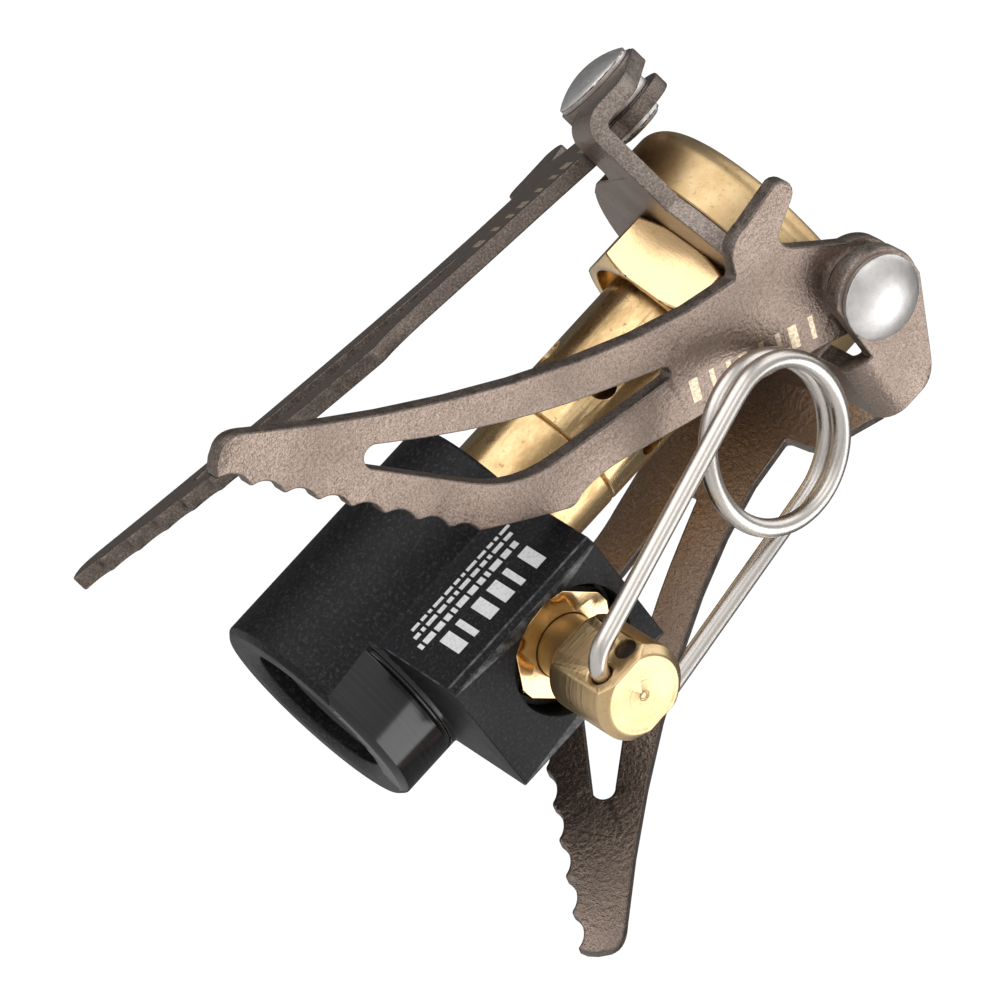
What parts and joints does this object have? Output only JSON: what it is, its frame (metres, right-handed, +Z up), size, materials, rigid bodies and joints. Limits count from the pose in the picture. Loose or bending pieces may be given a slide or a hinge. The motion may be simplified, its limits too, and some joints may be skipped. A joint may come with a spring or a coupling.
{
  "type": "folding canister stove",
  "caption": "Tiny folding gas stove that screws on a threaded canister: black valve body, brass mixer tube and burner, swing-out toothed pot supports, wire valve handle.",
  "frame": {"origin": "centre of the canister socket's mouth, at the base of the valve body", "axes": "+Z up the stove axis to the burner; +X out along the valve spindle to the knob; -Y out of the flat left side of the valve block. The stove is stored folded: pot supports hanging, wire handle up."},
  "size_m": [0.0424, 0.0477, 0.0496],
  "materials": {
    "black_anodised": "black anodised, lightly speckled",
    "rubber": "moulded nitrile",
    "brass_turned": "turned, satin",
    "brass_brushed": "brushed",
    "wire_mesh": "fine woven mesh",
    "pin_steel": "dark steel",
    "polished_wire": "polished stainless wire",
    "titanium": "bead-blasted titanium",
    "rivet_steel": "bright stainless, slightly mottled"
  },
  "bodies": {
    "stove": {"valve_body": "black_anodised", "canister_seal": "rubber", "inlet_fitting": "brass_turned", "inlet_filter": "wire_mesh", "jet": "brass_turned", "jet_holder": "brass_brushed", "mixer_tube": "brass_brushed", "gland_nut": "brass_turned", "stem_seal_inner": "rubber", "stem_seal_outer": "rubber", "hex_nut": "brass_turned", "star_bracket": "titanium", "burner_head": "brass_brushed", "burner_plate": "brass_turned", "flame_mesh": "wire_mesh", "plate_rivet": "rivet_steel", "pivot_rivet_a": "rivet_steel", "pivot_rivet_b": "rivet_steel", "pivot_rivet_c": "rivet_steel", "pivot_washer_a": "rivet_steel", "pivot_washer_b": "rivet_steel", "pivot_washer_c": "rivet_steel"},
    "valve": {"valve_spindle": "brass_turned", "knob": "brass_turned", "knob_pin": "pin_steel"},
    "handle": {"wire_handle": "polished_wire"},
    "support_a": {"pot_support_a": "titanium"},
    "support_b": {"pot_support_b": "titanium"},
    "support_c": {"pot_support_c": "titanium"}
  },
  "joints": [
    {"name": "valve_turn", "type": "hinge", "parent": "stove", "child": "valve", "pos_m": [0.018, 0, 0.013], "axis": [1, 0, 0], "range_deg": [0, 200]},
    {"name": "handle_fold", "type": "hinge", "parent": "valve", "child": "handle", "pos_m": [0.01965, 0, 0.01207], "axis": [0, 1, 0], "range_deg": [0, 104]},
    {"name": "support_a_swing", "type": "hinge", "parent": "stove", "child": "support_a", "pos_m": [0.01159, -0.00153, 0.0435], "axis": [0.9968, -0.0802, 0], "range_deg": [-201.9, 1.5]},
    {"name": "support_b_swing", "type": "hinge", "parent": "stove", "child": "support_b", "pos_m": [-0.00712, -0.00927, 0.0435], "axis": [-0.5678, -0.8231, 0], "range_deg": [-220.5, 0]},
    {"name": "support_c_swing", "type": "hinge", "parent": "stove", "child": "support_c", "pos_m": [-0.00447, 0.0108, 0.0435], "axis": [-0.4289, 0.9033, 0], "range_deg": [-209, 8]}
  ]
}
